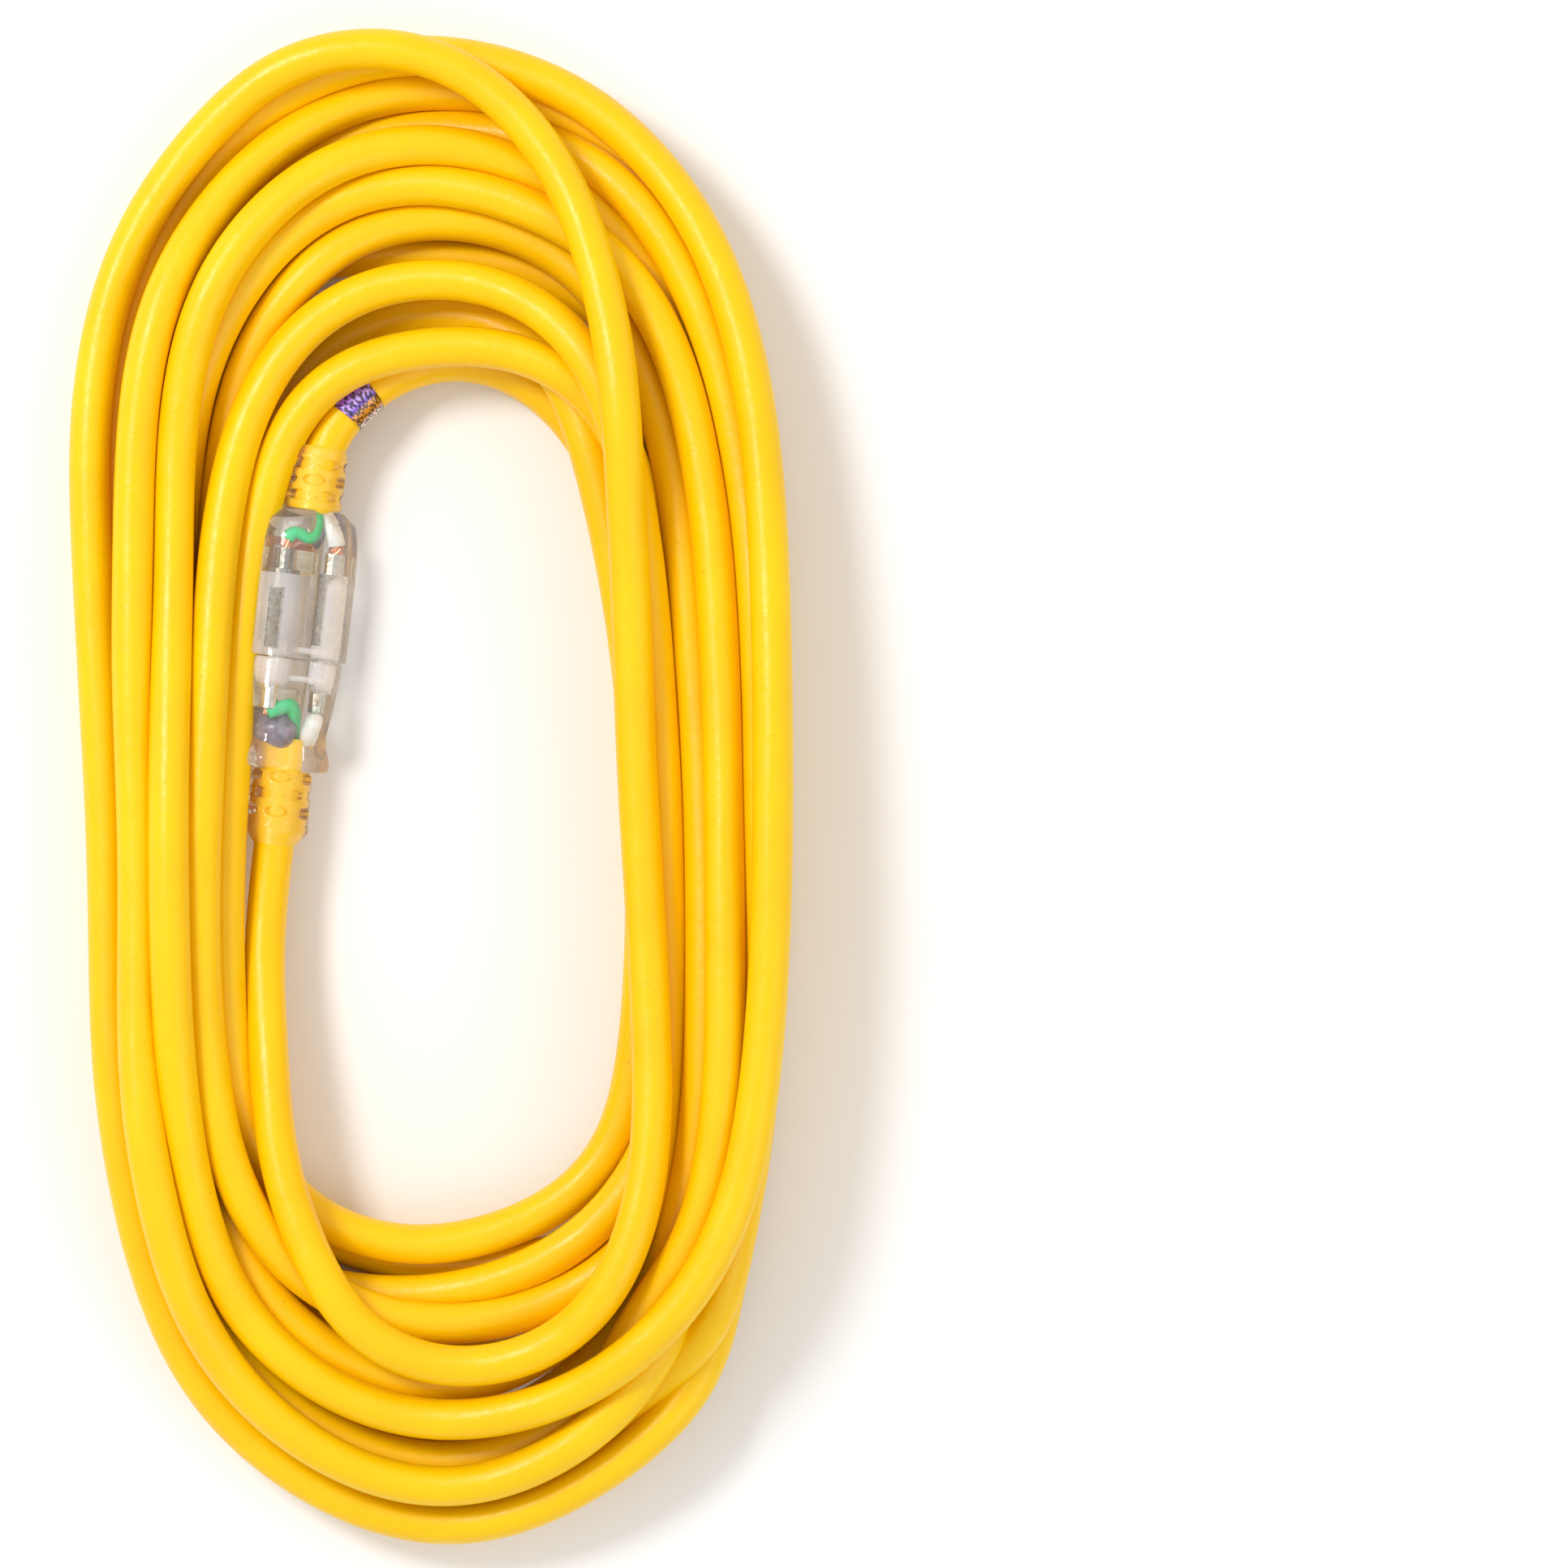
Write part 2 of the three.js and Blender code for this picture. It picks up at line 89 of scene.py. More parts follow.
def mesh_object(name, verts, faces, material, smooth=True):
    """A mesh object in the scene from vertices in metres."""
    mesh = bpy.data.meshes.new(name)
    mesh.from_pydata([tuple(v) for v in verts], [], [tuple(f) for f in faces])
    mesh.validate()
    mesh.update()
    mesh.materials.append(material)
    if smooth:
        mesh.shade_smooth()
    else:
        mesh.shade_flat()
    return link(bpy.data.objects.new(name, mesh))


def point_values(obj, name, values):
    """Stores a number on every vertex, for the object's material."""
    layer = obj.data.attributes.new(name, "FLOAT", "POINT")
    layer.data.foreach_set("value", np.array(values, np.float32))


def in_pair(verts):
    """The pair's own millimetres as metres in the CAD frame."""
    return [PAIR @ (Vector(v) * MM) for v in verts]


def piece(name, verts, faces, material, body, slot, replaced=(), smooth=True):
    """A piece made in the pair's frame; it rides on a body and may stand for CAD nodes."""
    obj = mesh_object(name, in_pair(verts), faces, material, smooth)
    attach(obj, body)
    if replaced:
        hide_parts(*replaced)
    return obj


def grid_faces(rows, columns, closed_rows=False):
    """Quads over rings of points; the ends get caps, or meet each other when closed_rows is set."""
    faces = []
    for r in range(rows if closed_rows else rows - 1):
        a, b = r * columns, (r + 1) % rows * columns
        for c in range(columns):
            d = (c + 1) % columns
            faces.append((a + c, a + d, b + d, b + c))
    if not closed_rows:
        faces.append(tuple(range(columns))[::-1])
        faces.append(tuple((rows - 1) * columns + c for c in range(columns)))
    return faces


def sides_along(points):
    """Two normals at each point of a line, without twist."""
    p = np.asarray(points, float)
    tangent = np.gradient(p, axis=0)
    tangent /= np.linalg.norm(tangent, axis=1)[:, None]
    side = np.zeros_like(p)
    up = np.array([0.0, 0.0, 1.0]) if abs(tangent[0, 2]) < 0.9 else np.array([1.0, 0.0, 0.0])
    n = np.cross(up, tangent[0])
    for i, t in enumerate(tangent):
        n = n - t * (n @ t)
        n /= np.linalg.norm(n)
        side[i] = n
    return side, np.cross(tangent, side)


def distance_along(points):
    """How far along a line each of its points is."""
    return np.r_[0, np.cumsum(np.linalg.norm(np.diff(points, axis=0), axis=1))]


def tube(points, radius, sides, lobes=None):
    """Vertices and faces of a tube; lobes(i, angles) scales the radius round ring i."""
    p = np.asarray(points, float)
    side, up = sides_along(p)
    angles = np.arange(sides) / sides * 2 * math.pi
    verts = []
    for i, centre in enumerate(p):
        r = radius * (lobes(i, angles) if lobes else np.ones(sides))
        ring = np.outer(np.cos(angles) * r, side[i]) + np.outer(np.sin(angles) * r, up[i])
        verts.extend(centre + ring)
    return verts, grid_faces(len(p), sides)


def merge(*parts):
    """Several (vertices, faces) pairs as one."""
    verts, faces = [], []
    for v, f in parts:
        base = len(verts)
        verts.extend(v)
        faces.extend(tuple(i + base for i in face) for face in f)
    return verts, faces


def through(a, b, c, d, t):
    """The Catmull-Rom curve from b to c."""
    linear = (c - a) * t
    square = (2 * a - 5 * b + 4 * c - d) * t**2
    cube = (3 * b - a - 3 * c + d) * t**3
    return 0.5 * (2 * b + linear + square + cube)


def spline(points, per_span):
    """A Catmull-Rom line through the points."""
    p = np.asarray(points, float)
    q = np.vstack([2 * p[0] - p[1], p, 2 * p[-1] - p[-2]])
    t = (np.arange(per_span) / per_span)[:, None, None]
    r = through(q[:-3], q[1:-2], q[2:-1], q[3:], t)
    return np.vstack([r.transpose(1, 0, 2).reshape(-1, p.shape[1]), p[-1:]])


def spaced(points, step):
    """The line's points again, step apart as measured in plan."""
    p = np.asarray(points, float)
    along = distance_along(p[:, :2])
    wanted = np.linspace(0, along[-1], int(round(along[-1] / step)) + 1)
    return np.column_stack([np.interp(wanted, along, p[:, k]) for k in range(p.shape[1])])


def softened(points, passes):
    """The line with its wiggles evened out; its ends stay."""
    p = np.array(points, float)
    for _ in range(passes):
        p[1:-1] = (p[:-2] + 2 * p[1:-1] + p[2:]) / 4
    return p


# ---------------------------------------------------------------- materials
def new_material(name):
    """A node material, its tree and its shader."""
    material = bpy.data.materials.new(name)
    material.use_nodes = True
    return material, material.node_tree, material.node_tree.nodes["Principled BSDF"]


def setting(shader, **values):
    """Plain values on the shader's own sockets."""
    for name, value in values.items():
        shader.inputs[name.replace("_", " ")].default_value = value


def noise(tree, scale, detail=3.0, rough=0.5):
    """Cloudy noise fixed to the object; scale counts features per metre."""
    node = tree.nodes.new("ShaderNodeTexNoise")
    node.inputs["Scale"].default_value = scale
    node.inputs["Detail"].default_value = detail
    node.inputs["Roughness"].default_value = rough
    coords = tree.nodes.new("ShaderNodeTexCoord")
    tree.links.new(coords.outputs["Object"], node.inputs["Vector"])
    return node.outputs["Fac"]


def attribute(tree, name):
    """A value stored on the mesh's points."""
    node = tree.nodes.new("ShaderNodeAttribute")
    node.attribute_name = name
    return node.outputs["Fac"]


def scaled(tree, source, factor):
    """A value times a number."""
    node = tree.nodes.new("ShaderNodeMath")
    node.operation = "MULTIPLY"
    node.inputs[1].default_value = factor
    tree.links.new(source, node.inputs[0])
    return node.outputs[0]


def ramp(tree, source, stops):
    """A colour looked up from a value by (place, colour) stops."""
    node = tree.nodes.new("ShaderNodeValToRGB")
    elements = node.color_ramp.elements
    while len(elements) < len(stops):
        elements.new(0.5)
    for element, (at, colour) in zip(elements, stops):
        element.position = at
        element.color = (*colour, 1)
    tree.links.new(source, node.inputs["Fac"])
    return node.outputs["Color"]


def multiplied(tree, first, second):
    """One colour times another."""
    mix = tree.nodes.new("ShaderNodeMix")
    mix.data_type = "RGBA"
    mix.blend_type = "MULTIPLY"
    mix.inputs[0].default_value = 1.0
    tree.links.new(first, mix.inputs[6])
    tree.links.new(second, mix.inputs[7])
    return mix.outputs[2]


def grey(low, high, a=0.35, b=0.65):
    """Stops from one grey to another."""
    return [(a, (low,) * 3), (b, (high,) * 3)]


def bump(tree, shader, source, height, distance):
    """Relief on the shader; distance is in metres."""
    node = tree.nodes.new("ShaderNodeBump")
    node.inputs["Strength"].default_value = height
    node.inputs["Distance"].default_value = distance
    tree.links.new(source, node.inputs["Height"])
    tree.links.new(node.outputs["Normal"], shader.inputs["Normal"])


def jacket_material():
    """Satin yellow PVC with a faint mottle, rubbed patches and the extruder's fine skin."""
    material, tree, shader = new_material("jacket yellow")
    colour = ramp(tree, noise(tree, 38, 4), [(0.3, (0.95, 0.55, 0.0)), (0.7, (0.98, 0.61, 0.0))])
    specks = ramp(tree, noise(tree, 420, 5, 0.7), [(0.66, (1, 1, 1)), (0.74, (0.80, 0.66, 0.5))])
    tree.links.new(multiplied(tree, colour, specks), shader.inputs["Base Color"])
    rubbed = ramp(tree, noise(tree, 210, 5, 0.6), grey(0.30, 0.42))
    tree.links.new(rubbed, shader.inputs["Roughness"])
    swell = ramp(tree, noise(tree, 70, 3), grey(0.0, 1.0, 0.25, 0.75))
    grain = ramp(tree, noise(tree, 900, 3), grey(0.85, 1.0, 0.3, 0.7))
    bump(tree, shader, multiplied(tree, swell, grain), 0.5, 0.0006)
    setting(shader, Subsurface_Weight=0.1, Subsurface_Scale=0.002, Specular_IOR_Level=0.34)
    shader.inputs["Subsurface Radius"].default_value = (1.0, 0.45, 0.05)
    return material


def let_light_through(tree, shader):
    """Lets light pass the clear plastic unbent, so what's behind it isn't left in shadow."""
    rays = tree.nodes.new("ShaderNodeLightPath")
    either = tree.nodes.new("ShaderNodeMath")
    either.operation = "MAXIMUM"
    tree.links.new(rays.outputs["Is Shadow Ray"], either.inputs[0])
    tree.links.new(rays.outputs["Is Diffuse Ray"], either.inputs[1])
    open_way = tree.nodes.new("ShaderNodeBsdfTransparent")
    open_way.inputs["Color"].default_value = (0.97, 0.965, 0.96, 1)
    mix = tree.nodes.new("ShaderNodeMixShader")
    tree.links.new(either.outputs[0], mix.inputs[0])
    tree.links.new(shader.outputs["BSDF"], mix.inputs[1])
    tree.links.new(open_way.outputs["BSDF"], mix.inputs[2])
    tree.links.new(mix.outputs[0], tree.nodes["Material Output"].inputs["Surface"])


def clear_material(name, tint, rough, ior, clear, solid, wall_shade=None):
    """Moulded clear plastic, slightly tinted; the sides of its pressed windows may get a painted darker
    orange shade.
    """
    material, tree, shader = new_material(name)
    low = tuple(c * 0.95 for c in tint)
    colour = ramp(tree, noise(tree, 160, 3), [(0.35, low), (0.65, tint)])
    if wall_shade:
        # painted shade: the pressed windows' sides are darkened towards orange
        wall_shading = ramp(tree, attribute(tree, "wall_shade"), [(0.0, (1, 1, 1)), (0.9, wall_shade)])
        colour = multiplied(tree, colour, wall_shading)
    tree.links.new(colour, shader.inputs["Base Color"])
    rougher = ramp(tree, noise(tree, 420, 4), grey(rough, rough * 2 + 0.03))
    tree.links.new(rougher, shader.inputs["Roughness"])
    bump(tree, shader, noise(tree, 240, 2), 0.05, 0.0005)
    setting(shader, Transmission_Weight=clear, IOR=ior, Alpha=solid)
    let_light_through(tree, shader)
    return material


def metal_material(name, dark, light, rough):
    """Drawn or stamped metal, mottled and worn."""
    material, tree, shader = new_material(name)
    colour = ramp(tree, noise(tree, 700, 4), [(0.3, dark), (0.7, light)])
    tree.links.new(colour, shader.inputs["Base Color"])
    worn = ramp(tree, noise(tree, 1190, 5), grey(rough * 0.7, rough * 1.4))
    tree.links.new(worn, shader.inputs["Roughness"])
    bump(tree, shader, noise(tree, 2100, 3), 0.08, 0.0002)
    setting(shader, Metallic=1.0)
    return material


def plastic_material(name, dark, light, rough):
    """A wire's coloured insulation."""
    material, tree, shader = new_material(name)
    colour = ramp(tree, noise(tree, 300, 3), [(0.3, dark), (0.7, light)])
    tree.links.new(colour, shader.inputs["Base Color"])
    skin = ramp(tree, noise(tree, 800, 3), grey(rough * 0.8, rough * 1.25))
    tree.links.new(skin, shader.inputs["Roughness"])
    bump(tree, shader, noise(tree, 1500, 2), 0.06, 0.0002)
    return material


JACKET = jacket_material()
CLEAR = clear_material("clear PVC", (1.0, 0.985, 0.965), 0.02, 1.42, 0.90, 0.9)
# the painted darker orange shade on the sides of the sleeves' pressed windows
SLEEVE_WALL_SHADE = (0.80, 0.38, 0.06)
SLEEVE = clear_material("clear sleeve", (1.0, 0.985, 0.955), 0.03, 1.45, 0.97, 0.95, SLEEVE_WALL_SHADE)
INSERT = clear_material("clear insert", (1.0, 0.955, 0.945), 0.22, 1.15, 0.42, 0.8)
NICKEL = metal_material("nickel plate", (0.60, 0.58, 0.54), (0.78, 0.76, 0.71), 0.22)
BRASS = metal_material("contact brass", (0.62, 0.53, 0.36), (0.80, 0.72, 0.54), 0.28)
# nickel darkened as a painted reflection of dark surroundings, for faces that mirror them
NICKEL_PAINTED_DARK = metal_material("nickel painted dark", (0.20, 0.19, 0.16), (0.34, 0.33, 0.29), 0.38)
COPPER = metal_material("copper strand", (0.62, 0.25, 0.13), (0.85, 0.45, 0.28), 0.32)
WIRE = {
    "ground": plastic_material("wire green", (0.0, 0.48, 0.15), (0.01, 0.62, 0.22), 0.4),
    "neutral": plastic_material("wire white", (0.74, 0.73, 0.68), (0.86, 0.85, 0.81), 0.4),
    # the black insulation's mottle up to a light purple-grey is a painted sheen
    "line": plastic_material("wire black", (0.05, 0.04, 0.06), (0.30, 0.25, 0.34), 0.28),
}


# ---------------------------------------------------------------- stage, light and camera, in metres
COIL_MIDDLE = (0.03, -0.03, 0)
FLOOR_HALF = 6
SKY_STRENGTH = 0.74
# the picture's middle and width, measured at the height of the pair
PICTURE_MIDDLE = (0.1224, -0.0352)
PICTURE_WIDE = 0.398
PICTURE_PLANE = 0.012
LENS = 120
SENSOR = 36


def area_light(name, at, size, power):
    """A round soft light at a place in metres, turned to the middle of the coil."""
    light = bpy.data.lights.new(name, "AREA")
    light.shape = "DISK"
    light.size = size
    light.energy = power
    obj = link(bpy.data.objects.new(name, light))
    obj.location = at
    towards = Vector(COIL_MIDDLE) - Vector(at)
    obj.rotation_euler = towards.to_track_quat("-Z", "Y").to_euler()


def make_stage():
    """A pale floor under an even white sky, with a key light from the upper left."""
    floor, tree, shader = new_material("pale floor")
    colour = ramp(tree, noise(tree, 2.5, 2), [(0.3, (0.90, 0.90, 0.90)), (0.7, (0.93, 0.93, 0.93))])
    tree.links.new(colour, shader.inputs["Base Color"])
    setting(shader, Roughness=0.9)
    corners = [(x * FLOOR_HALF, y * FLOOR_HALF, 0) for x, y in ((-1, -1), (1, -1), (1, 1), (-1, 1))]
    mesh_object("floor", corners, [(0, 1, 2, 3)], floor, smooth=False)

    world = bpy.data.worlds.new("studio")
    world.use_nodes = True
    background = world.node_tree.nodes["Background"]
    background.inputs["Color"].default_value = (1, 1, 1, 1)
    background.inputs["Strength"].default_value = SKY_STRENGTH
    bpy.context.scene.world = world
    area_light("key", (-0.55, 0.45, 1.1), 0.38, 9.0)
    area_light("fill", (0.9, -0.6, 1.0), 0.9, 3.0)


def make_camera():
    """Straight down through a long lens, framed as the coil at the left of a square picture."""
    camera = bpy.data.cameras.new("camera")
    camera.sensor_width = SENSOR
    camera.lens = LENS
    camera.clip_end = 20
    obj = link(bpy.data.objects.new("camera", camera))
    obj.location = (*PICTURE_MIDDLE, PICTURE_PLANE + PICTURE_WIDE * camera.lens / camera.sensor_width)
    bpy.context.scene.camera = obj
    bpy.context.scene.view_settings.view_transform = "Standard"


# ---------------------------------------------------------------- the cord
# the coil's outermost and innermost strand, anticlockwise from the middle of the left side
OUTER = [
    (-48, -42), (-42.4, -134), (-21, -194.3), (34.6, -224.5), (84.7, -201), (114, -139.7),
    (119.5, -42), (114, 67.8), (85, 128.8), (36.7, 150.8), (-12.4, 138.2), (-50, 80.3),
]
INNER = [
    (-18, -42), (-15.2, -118.4), (2.7, -145.2), (34.6, -154), (70.7, -139), (85.5, -110),
    (86.3, -42), (74.8, 38), (58.3, 68), (32.5, 73), (5.8, 64), (-8.7, 36),
]
# from the plug's boot over the top of the coil, once round, to the outside
OVER = [
    (-8.9, -62.8), (-9.9, -83.4), (-9.9, -104), (-7.4, -124.6), (-1.6, -145.2), (8.7, -165.8),
    (16.1, -175), (24.5, -180), (34.6, -182.4), (47, -182.7), (57.3, -180.7), (67.6, -175.7),
    (75.8, -168.3), (82, -158.6), (86.1, -147.3), (89.2, -134.9), (90.2, -112.3), (88.8, -83.4),
    (87.5, -62.8), (86.3, -42), (85.3, -21.6), (84.6, -1), (83.8, 19.6), (82.9, 40),
    (81.8, 58), (79, 81.4), (73.7, 102), (70, 112.3), (65.5, 121.5), (59.3, 130.4),
    (48.7, 140.9), (38.7, 146.9), (30.5, 149.8), (22.2, 151), (14, 149.8),
]
# from under the coil's inner edge to the connector's boot
UNDER = [(47, 75.5), (37.5, 75.6), (28, 73.2), (18, 68), (10.2, 61.4)]
# each turn's place across the coil, from 0 inside to 1 outside, and its order in height,
# both at left, bottom, right and top
TURNS = [
    ((1.00, 1.00, 0.94, 0.88), (10, 10, 3.5, 9)),
    ((0.66, 0.85, 0.76, 0.69), (9.2, 9, 3.8, 8)),
    ((0.45, 0.60, 1.00, 0.98), (11, 11, 11, 11)),
    ((0.86, 0.93, 0.88, 0.77), (6.5, 6, 7.5, 7)),
    ((0.66, 0.78, 0.68, 0.58), (6, 5, 8, 7)),
    ((0.45, 0.68, 0.45, 0.47), (5, 4, 9, 6)),
    ((0.20, 0.50, 0.21, 0.265), (4.5, 6, 9, 8)),
    ((0.17, 0.26, 0.62, 0.34), (8, 8, 3, 5)),
    ((0.80, 0.17, 0.30, 0.03), (2, 7, 3, 7)),
    ((0.03, 0.00, 0.05, 0.165), (7, 7, 5, 3)),
    ((0.15, 0.06, 0.75, 0.62), (1.5, 3, 1.5, 2)),
    ((0.50, 0.33, 0.12, 0.00), (1, 1.5, 1, 1)),
]
# in quarters of a turn: the first turn starts here, where the line over the top ends,
# and the last stops this far short, where the line from under begins
FIRST_QUARTER = -0.72
LAST_QUARTER = 1.34
LAY_SWELL = 1.012
CORD_STEP = 4.6
# how far apart in height the orders lie before the strands sink
LAYER = 2.1
SINK_STEPS = 400
# after this share of the steps the strands fall slower and stiffen less
LATE_FROM = 0.7
FALL = 0.10
FALL_LATE = 0.04
# the share of a sideways move that is kept from one step to the next
KEEP_ASIDE = 0.93
KEEP_ASIDE_LATE = 0.97


def round_oval(places, at):
    """A smooth closed line through the places; at runs from 0 to 1 once round."""
    v = np.array(places, float)
    x = at * len(v)
    i = np.floor(x).astype(int)
    near = (v[(i + k) % len(v)] for k in (-1, 0, 1, 2))
    return through(*near, (x - i)[:, None])


def eased(values, at):
    """The values at whole numbers, and a smooth step from each to the next between them."""
    v = np.array(values, float)
    at = np.clip(at, 0, len(v) - 1)
    i = np.clip(np.floor(at).astype(int), 0, len(v) - 2)
    t = at - i
    t = t * t * (3 - 2 * t)
    return v[i] * (1 - t) + v[i + 1] * t


def on_axis(along):
    """A place on the cord's axis inside the pair."""
    return np.array(PAIR @ (Vector((0, along, CORD_RISE)) * MM)) / MM


def wound_route():
    """The cord's line from plug boot to connector boot in plan, with each point's height order."""
    place = [p for places, _ in TURNS for p in places]
    order = [o for _, orders in TURNS for o in orders]
    quarter = np.arange(FIRST_QUARTER, len(place) - LAST_QUARTER, 1 / 30)
    across, height = eased(place, quarter)[:, None], eased(order, quarter)
    at = quarter / 4 % 1
    turns = round_oval(INNER, at) * (1 - across) + round_oval(OUTER, at) * across
    first = [on_axis(PLUG_BOOT_END)[:2], on_axis(PLUG_BOOT_END - 4)[:2], *OVER]
    rising = np.interp(np.linspace(0, 1, len(first)), [0, 0.1, 0.9, 1], [8, 12, 12, 11])
    last = [*UNDER, on_axis(CONN_BOOT_END + 3)[:2], on_axis(CONN_BOOT_END)[:2]]
    rows = [
        np.column_stack([first, rising]),
        np.column_stack([turns, height]),
        np.column_stack([last, np.linspace(0.5, 3, len(last))]),
    ]
    return softened(spaced(spline(spaced(np.vstack(rows), 16), 6), CORD_STEP), 12)


def near_pairs(points, reach, apart):
    """Segments of the line that come close to one another, but aren't near along it."""
    middle = (points[:-1] + points[1:]) / 2
    order = np.argsort(middle[:, 0])
    last = np.searchsorted(middle[order, 0], middle[order, 0] + reach, side="right")
    first_of, second_of = [], []
    for k, i in enumerate(order):
        c = order[k + 1 : last[k]]
        gap = np.abs(middle[c] - middle[i])
        c = c[(gap[:, 1] < reach) & (gap[:, 2] < reach) & (np.abs(c - i) > apart)]
        first_of.append(np.full(len(c), i))
        second_of.append(c)
    return np.concatenate(first_of), np.concatenate(second_of)


def closest(points, i, j):
    """Where along segments i and j the two come closest."""
    p, q = points[i], points[j]
    a, b, r = points[i + 1] - p, points[j + 1] - q, p - q
    aa, bb, ab = (a * a).sum(1), (b * b).sum(1), (a * b).sum(1)
    ar, br = (a * r).sum(1), (b * r).sum(1)
    spread = aa * bb - ab * ab
    s = np.where(spread > 1e-6, np.clip((ab * br - ar * bb) / np.maximum(spread, 1e-6), 0, 1), 0.5)
    wanted = (ab * s + br) / bb
    t = np.clip(wanted, 0, 1)
    return np.where(wanted != t, np.clip((ab * t - ar) / aa, 0, 1), s), t


def settle(route, end_height, steps):
    """Lets the strands sink until they rest on each other and on the floor, near their route in plan.

    Where two strands cross, the one with the higher order goes over the other.
    """
    order = route[:, 2]
    between = (order[:-1] + order[1:]) / 2
    p = route.copy()
    p[:, 2] = CORD_D / 2 + np.clip(order, 0, 12) * LAYER
    free = np.ones(len(p))
    free[:4] = free[-4:] = 0
    p[:4, 2] = p[-4:, 2] = end_height
    for step in range(steps):
        late = step > steps * LATE_FROM
        # the stretches that may touch, and how much higher in order the first of each two is
        if step % 10 == 0:
            i, j = near_pairs(p, CORD_D * 1.7, 5)
            over = between[i] - between[j] + 1e-3 * np.sign(j - i)
        p[:, 2] -= (FALL_LATE if late else FALL) * free
        # the way from the second of each two to the first, turned round where the wrong one is on top
        s, t = closest(p, i, j)
        one = p[i] * (1 - s)[:, None] + p[i + 1] * s[:, None]
        gap = one - p[j] * (1 - t)[:, None] - p[j + 1] * t[:, None]
        reach = np.where(np.abs(over) > 1, 0.85, 0.5) * CORD_D
        wrong = (np.sign(over) != np.sign(gap[:, 2])) & (np.hypot(gap[:, 0], gap[:, 1]) < reach)
        gap[:, 2] = np.where(wrong, np.sign(over) * 0.6 * CORD_D, gap[:, 2])
        # each two that overlap are pushed apart, less so sideways where one goes over the other
        far = np.linalg.norm(gap, axis=1) + 1e-9
        hit = (far < CORD_D) | wrong
        depth = np.where(wrong, 0.5 * CORD_D, CORD_D - far)[hit]
        push = gap[hit] / far[hit, None] * (np.minimum(depth, 2) * 0.5)[:, None]
        push[wrong[hit], :2] *= 0.2
        push[np.abs(over[hit]) > 0.4, :2] *= 0.5
        # the upper strand rises more than the lower one sinks
        upper = np.where(gap[hit, 2] > 0, 1.6, 0.4)
        moved, count = np.zeros_like(p), np.zeros(len(p))
        si, tj = s[hit], t[hit]
        for at, weight, sign, share in (
            (i[hit], 1 - si, 1, upper),
            (i[hit] + 1, si, 1, upper),
            (j[hit], 1 - tj, -1, 2 - upper),
            (j[hit] + 1, tj, -1, 2 - upper),
        ):
            part = push * (sign * weight)[:, None]
            part[:, 2] *= share
            np.add.at(moved, at, part)
            np.add.at(count, at, weight)
        p += moved / np.maximum(count, 1)[:, None] * 1.2 * free[:, None]
        # in plan a strand is drawn back to its route; in height it is stiff over a short and a long span
        keep = KEEP_ASIDE_LATE if late else KEEP_ASIDE
        aside = softened((p[:, :2] - route[:, :2]) * keep, 1 if late else 2)
        p[:, :2] = route[:, :2] + aside * free[:, None]
        for span, stiff in ((1, 0.5), (4, 0.05 if late else 0.15)):
            middle = (p[: -2 * span, 2] + p[2 * span :, 2]) / 2
            p[span:-span, 2] += (middle - p[span:-span, 2]) * stiff * free[span:-span]
        p[:, 2] = np.maximum(p[:, 2], CORD_D / 2 * LAY_SWELL)
    return p


def cord_line():
    """The whole centre line in millimetres, from inside the plug to inside the connector."""
    height = on_axis(PLUG_BOOT_END)[2]
    laid = settle(wound_route(), height, SINK_STEPS)
    into_plug = [on_axis(a) for a in np.arange(PLUG_JACKET_END, PLUG_BOOT_END + 1, -4)]
    out_of_connector = [on_axis(a) for a in np.arange(CONN_BOOT_END - 4, CONN_JACKET_END, -4)]
    whole = np.vstack([into_plug, laid, out_of_connector, [on_axis(CONN_JACKET_END)]])
    return spline(softened(whole, 7), 2)[::-1]


# the conductors' lay shows through the jacket once in this length
LAY_LENGTH = 78
CORD_SIDES = 20


def make_cord(line):
    """The jacketed cord along the line; returns it with its length in metres."""
    along = distance_along(line)
    twist = 2 * math.pi * along / LAY_LENGTH

    def lobes(i, angles):
        """The three conductors' lay shows faintly through the jacket."""
        return 1 + 0.010 * np.cos(3 * angles - twist[i])

    verts, faces = tube(line * MM, CORD_D / 2 * MM, CORD_SIDES, lobes)
    cord = mesh_object("cord", verts, faces, JACKET)
    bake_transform(cord)
    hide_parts("cord_coil", "cord_plug_lead", "cord_connector_lead")
    return cord, along[-1] * MM


def label_material():
    """Iridescent film, violet along one side and orange beside it, with meaningless dark marks."""
    material, tree, shader = new_material("label film")
    across = attribute(tree, "turn")
    hues = [
        (0.00, (0.60, 0.20, 0.70)),
        (0.20, (0.30, 0.10, 0.75)),
        (0.26, (0.62, 0.42, 0.95)),
        (0.30, (0.14, 0.06, 0.60)),
        (0.33, (0.80, 0.34, 0.02)),
        (0.40, (0.55, 0.20, 0.02)),
        (0.45, (0.92, 0.78, 0.70)),
        (0.55, (0.75, 0.60, 0.55)),
    ]
    hue = ramp(tree, across, hues)
    place = tree.nodes.new("ShaderNodeCombineXYZ")
    tree.links.new(scaled(tree, attribute(tree, "reach"), 14.0), place.inputs[0])
    tree.links.new(scaled(tree, across, 26.0), place.inputs[1])
    print_marks = tree.nodes.new("ShaderNodeTexNoise")
    print_marks.inputs["Scale"].default_value = 1.0
    print_marks.inputs["Detail"].default_value = 0.5
    tree.links.new(place.outputs[0], print_marks.inputs["Vector"])
    dashes = ramp(tree, print_marks.outputs["Fac"], grey(0.15, 1.0, 0.49, 0.52))
    tree.links.new(multiplied(tree, hue, dashes), shader.inputs["Base Color"])
    tree.links.new(ramp(tree, noise(tree, 500), grey(0.15, 0.35)), shader.inputs["Roughness"])
    setting(shader, Coat_Weight=0.6, Coat_Roughness=0.1)
    return material


# the label's middle, along the cord from the end inside the connector
LABEL_AT = 31


